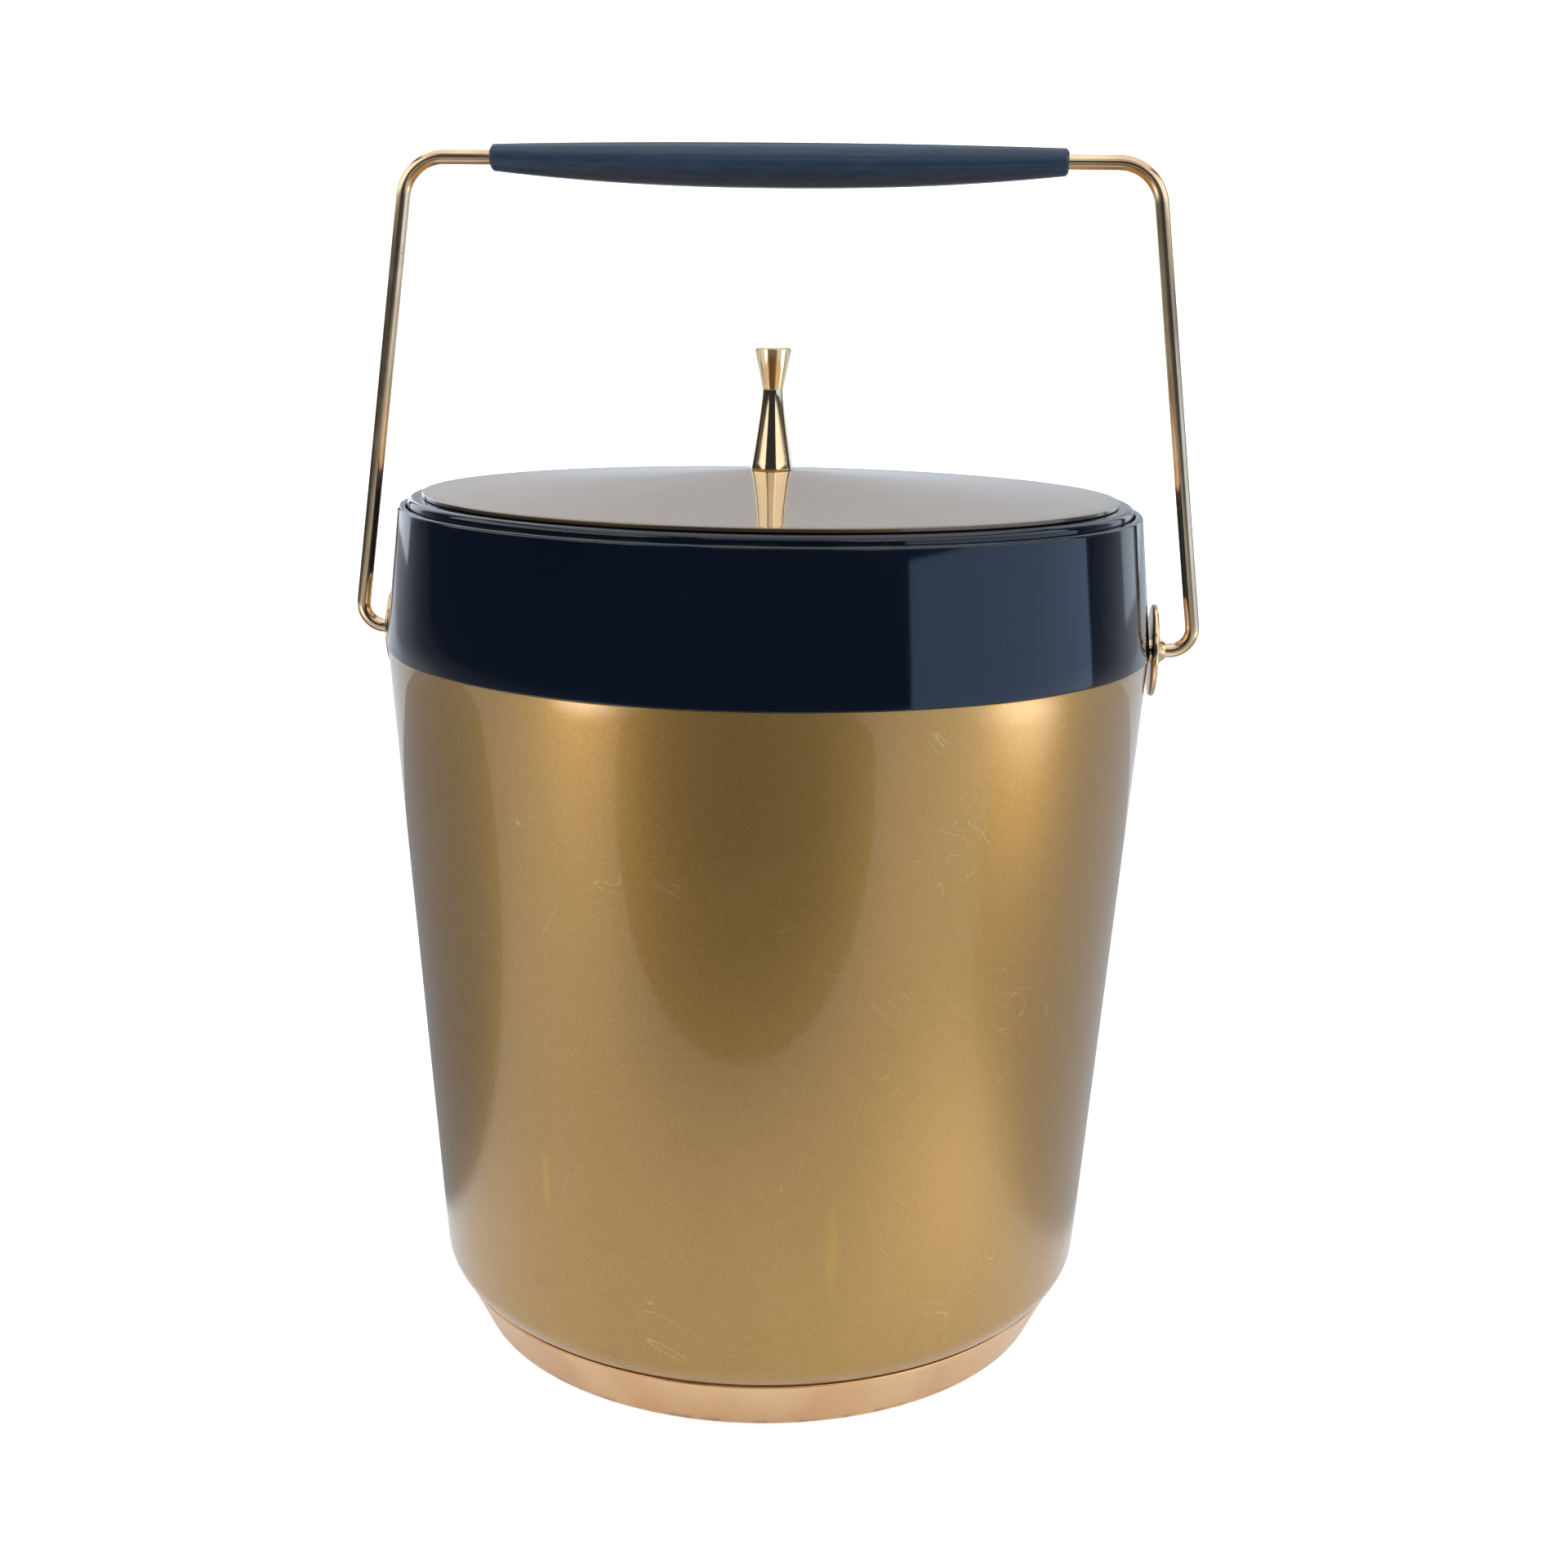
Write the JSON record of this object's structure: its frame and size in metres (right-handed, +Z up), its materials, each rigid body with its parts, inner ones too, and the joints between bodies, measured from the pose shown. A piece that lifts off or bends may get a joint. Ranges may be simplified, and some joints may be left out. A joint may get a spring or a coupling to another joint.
{
  "type": "ice bucket",
  "caption": "Insulated ice bucket with a tapered gold shell, glossy navy collar, lift-off domed lid with a turned brass knob, and a swinging wire bail with a spindle grip.",
  "frame": {"origin": "centre of the foot ring on the surface that the bucket stands on", "axes": "+Z up along the bucket's axis, +X along the bail's pivot axis"},
  "size_m": [0.214, 0.19, 0.2961],
  "materials": {
    "shell_gold": "satin",
    "copper_gold": "satin",
    "navy_plastic": "gloss",
    "white_plastic": "satin",
    "dark_plastic": "matte",
    "foam": "matte",
    "polished_brass": "polished",
    "zinc_steel": "satin"
  },
  "bodies": {
    "bucket": {"foot_ring": "copper_gold", "base_plate": "dark_plastic", "base_screws": "zinc_steel", "base_nuts": "zinc_steel", "outer_shell": "shell_gold", "insulation_jacket": "foam", "inner_liner": "white_plastic", "collar": "navy_plastic", "pivot_plate_left": "polished_brass", "pivot_plate_right": "polished_brass", "pivot_bush_left": "polished_brass", "pivot_bush_right": "polished_brass", "pivot_nut_left": "zinc_steel", "pivot_nut_right": "zinc_steel"},
    "bail": {"bail_wire": "polished_brass", "grip": "navy_plastic", "bail_clips": "zinc_steel"},
    "lid": {"lid_frame": "navy_plastic", "lid_disc": "shell_gold", "lid_insulation": "foam", "lid_underside": "white_plastic", "knob": "polished_brass", "lid_screw": "zinc_steel", "lid_washer": "zinc_steel"}
  },
  "joints": [
    {"name": "bail_swing", "type": "hinge", "parent": "bucket", "child": "bail", "pos_m": [0, 0, 0.1765], "axis": [1, 0, 0], "range_deg": [-122, 122]},
    {"name": "lid_lift", "type": "slide", "parent": "bucket", "child": "lid", "axis": [0, 0, 1], "range_m": [0, 0.034]}
  ]
}
